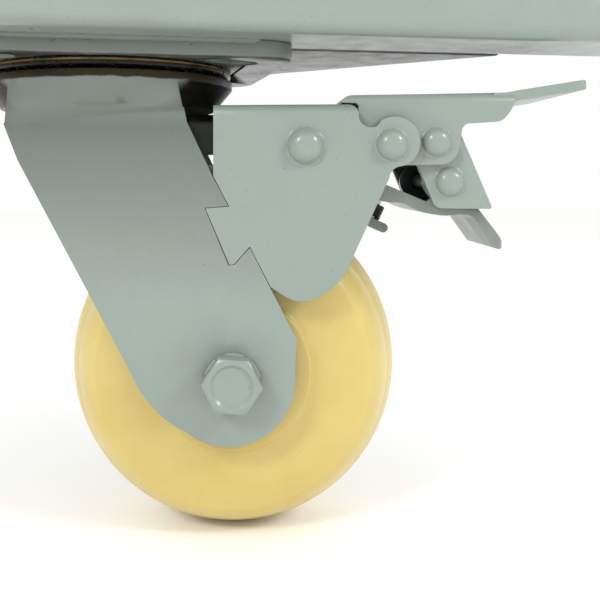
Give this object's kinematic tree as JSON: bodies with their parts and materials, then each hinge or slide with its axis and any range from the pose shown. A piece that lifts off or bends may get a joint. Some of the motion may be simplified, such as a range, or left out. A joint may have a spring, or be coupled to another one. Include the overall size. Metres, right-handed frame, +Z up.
{
  "type": "swivel caster with total-lock brake",
  "caption": "Heavy swivel caster with a pedal total-lock brake, nylon wheel and pressed steel fork, welded under the gusseted corner of a rolling scaffold's base frame.",
  "frame": {"origin": "swivel axis at the top face of the caster's mounting plate", "axes": "+X along the front rail, +Y towards the inside of the scaffold, +Z up; the wheel trails towards +X, turned 10 degrees clockwise from above"},
  "size_m": [0.275, 0.2385, 0.2285],
  "materials": {
    "enamel": "glossy pale grey-green enamel",
    "greased_race": "turned steel under old grease",
    "zinc": "zinc plated",
    "bearing_steel": "ground",
    "spring_steel": "oil-blackened",
    "lining": "moulded",
    "nylon": "cast nylon, cream yellow",
    "cap_plastic": "moulded"
  },
  "bodies": {
    "base_frame": {"base_rail": "enamel", "side_rail": "enamel", "corner_gusset": "enamel", "rail_end_caps": "cap_plastic", "plate_welds": "enamel", "gusset_welds": "enamel", "corner_weld": "enamel", "top_plate": "enamel", "upper_race": "greased_race", "kingpin": "zinc", "retaining_cup": "greased_race", "lock_ring": "greased_race", "kingpin_nut": "zinc"},
    "swivel_fork": {"fork": "enamel", "lower_race": "greased_race", "main_balls": "bearing_steel", "lower_balls": "bearing_steel", "brake_housing": "enamel", "lever_pivot_pin": "enamel", "pedal_pivot_pin": "enamel", "axle_bolt": "enamel", "axle_nut": "enamel", "axle_washers": "enamel", "axle_sleeve": "zinc", "axle_spacers": "zinc", "bearing_inner_rings": "bearing_steel"},
    "wheel": {"wheel": "nylon", "bearing_outer_rings": "bearing_steel", "bearing_balls": "bearing_steel", "bearing_shields": "bearing_steel"},
    "pedal": {"pedal": "enamel", "link_pin": "enamel"},
    "link": {"link_bracket": "enamel", "knee_pin": "enamel"},
    "brake_lever": {"brake_lever": "enamel", "brake_shoe": "enamel", "brake_pad": "lining", "adjusting_screw": "zinc", "shoe_spring": "spring_steel", "swivel_pawl": "zinc"}
  },
  "joints": [
    {"name": "swivel", "type": "hinge", "parent": "base_frame", "child": "swivel_fork", "pos_m": [0, 0, 0], "axis": [0, 0, 1], "continuous": true},
    {"name": "wheel_spin", "type": "hinge", "parent": "swivel_fork", "child": "wheel", "pos_m": [0.04727, -0.00834, -0.117], "axis": [0.1736, 0.9848, 0], "continuous": true},
    {"name": "pedal_press", "type": "hinge", "parent": "swivel_fork", "child": "pedal", "pos_m": [0.10173, -0.01794, -0.0355], "axis": [0.1736, 0.9848, 0], "range_deg": [0, 24]},
    {"name": "link_turn", "type": "hinge", "parent": "pedal", "child": "link", "pos_m": [0.11798, -0.0208, -0.0345], "axis": [0.1736, 0.9848, 0], "range_deg": [-18.5, 0.5]},
    {"name": "lever_turn", "type": "hinge", "parent": "swivel_fork", "child": "brake_lever", "pos_m": [0.07229, -0.01275, -0.036], "axis": [0.1736, 0.9848, 0], "range_deg": [-0.5, 8.6]}
  ],
  "couplings": [
    {"joint": "link_turn", "follows": "pedal_press", "ratio": -0.7427},
    {"joint": "lever_turn", "follows": "pedal_press", "ratio": 0.3452}
  ]
}
